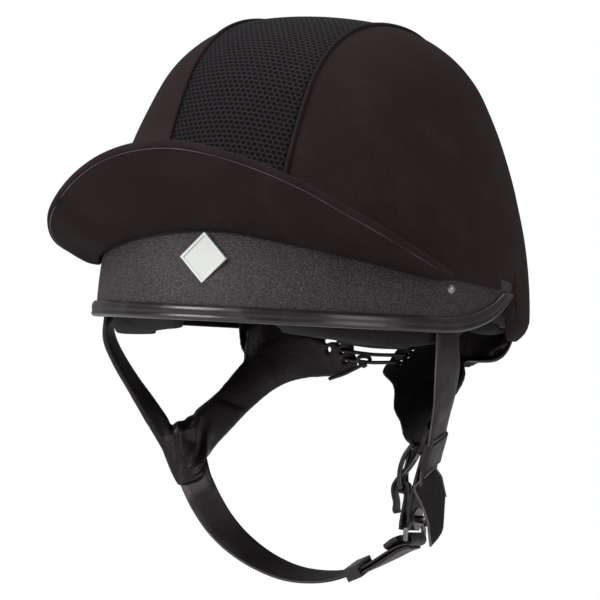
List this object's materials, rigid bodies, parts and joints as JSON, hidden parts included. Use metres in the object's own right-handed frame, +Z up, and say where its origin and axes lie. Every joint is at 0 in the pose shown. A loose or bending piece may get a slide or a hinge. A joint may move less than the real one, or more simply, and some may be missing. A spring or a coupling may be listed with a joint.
{
  "type": "jockey skull cap",
  "caption": "Riding skull cap with a fabric cover, an up-swept peak, a foam liner and pads, and a leather harness with nape lacing, pin buckle and hook-on chin strap.",
  "frame": {"origin": "on the head's axis, in the plane of the lower edge of the rim trim", "axes": "+Z up through the crown, -Y out of the face with the peak, +X to the wearer's left"},
  "size_m": [0.2186, 0.3097, 0.2965],
  "materials": {
    "shell": "fine textured",
    "trim": "satin",
    "foam": "moulded bead foam",
    "pads": "soft knit",
    "cover": "matte stretch cloth",
    "mesh": "open knit",
    "board": "matte",
    "leather": "soft semi-gloss",
    "webbing": "tight weave",
    "badge": "satin",
    "rivet": "satin",
    "steel": "polished wire",
    "gunmetal": "dark plated",
    "plastic": "semi-gloss"
  },
  "bodies": {
    "cap": {"outer_shell": "shell", "impact_liner": "foam", "rim_trim": "trim", "headband_front": "pads", "headband_left": "pads", "headband_right": "pads", "headband_rear": "pads", "crown_pad": "pads", "mesh_panel": "mesh", "crown_cover_left": "cover", "crown_cover_right": "cover", "seam_piping": "cover", "peak_cover": "cover", "peak_board": "board", "badge_plate": "badge", "badge_pins": "badge", "front_rivets": "rivet", "rear_rivets": "rivet", "rivet_washers": "rivet", "front_strap_left": "leather", "front_strap_right": "leather", "joint_cover_right": "leather", "nape_panel_left": "leather", "nape_panel_right": "leather", "nape_lace": "webbing", "chin_strap_root": "webbing", "link_stud": "steel", "buckle_chape": "leather", "holed_strap": "leather", "guard_pad": "leather"},
    "chin": {"chin_strap": "webbing", "strap_link": "steel"},
    "slide_keeper": {"slider": "plastic"},
    "buckle": {"buckle_frame": "gunmetal"},
    "prong": {"buckle_prong": "gunmetal"}
  },
  "joints": [
    {"name": "chin_strap_swing", "type": "hinge", "parent": "cap", "child": "chin", "pos_m": [0.066, 0, -0.097], "axis": [0.9982, 0, -0.0597], "range_deg": [-22, 28], "deforming": ["chin_strap_root"]},
    {"name": "slider_travel", "type": "slide", "parent": "chin", "child": "slide_keeper", "axis": [0.9191, -0.0131, 0.3939], "range_m": [-0.002, 0.002]},
    {"name": "buckle_tilt", "type": "hinge", "parent": "cap", "child": "buckle", "pos_m": [0.0584, -0.001, -0.081], "axis": [0.29, -0.957, 0], "range_deg": [0, 18]},
    {"name": "prong_tilt", "type": "hinge", "parent": "buckle", "child": "prong", "pos_m": [0.0584, -0.001, -0.081], "axis": [0.29, -0.957, 0], "range_deg": [0, 8]}
  ]
}
